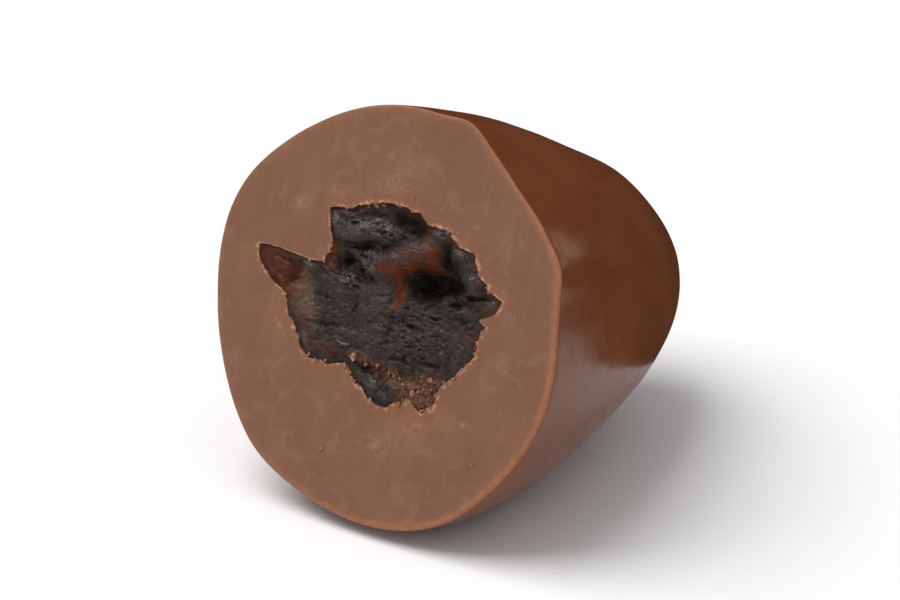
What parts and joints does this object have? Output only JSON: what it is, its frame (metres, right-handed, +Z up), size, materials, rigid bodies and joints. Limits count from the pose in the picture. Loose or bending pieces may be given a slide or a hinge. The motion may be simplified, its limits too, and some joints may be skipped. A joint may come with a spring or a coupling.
{
  "type": "chocolate covered raisin, cut in half",
  "caption": "Half of a chocolate covered raisin, cut across, with thick satin milk chocolate round a dark wrinkled raisin that shows at the flat cut face.",
  "frame": {"origin": "middle of the small flat spot that the half rests on", "axes": "+Z up; the cut face looks towards -Y and about 20 degrees up, and the nose points towards +Y and down; +X is to the right as seen from in front of the cut"},
  "size_m": [0.0132, 0.0151, 0.0131],
  "materials": {
    "chocolate": "milk chocolate, satin and slightly glossy on the side, matte with faint smears on the cut",
    "raisin": "moist grey-black raisin flesh with reddish translucent parts"
  },
  "bodies": {
    "root": {"chocolate": "chocolate", "raisin": "raisin"}
  },
  "joints": []
}
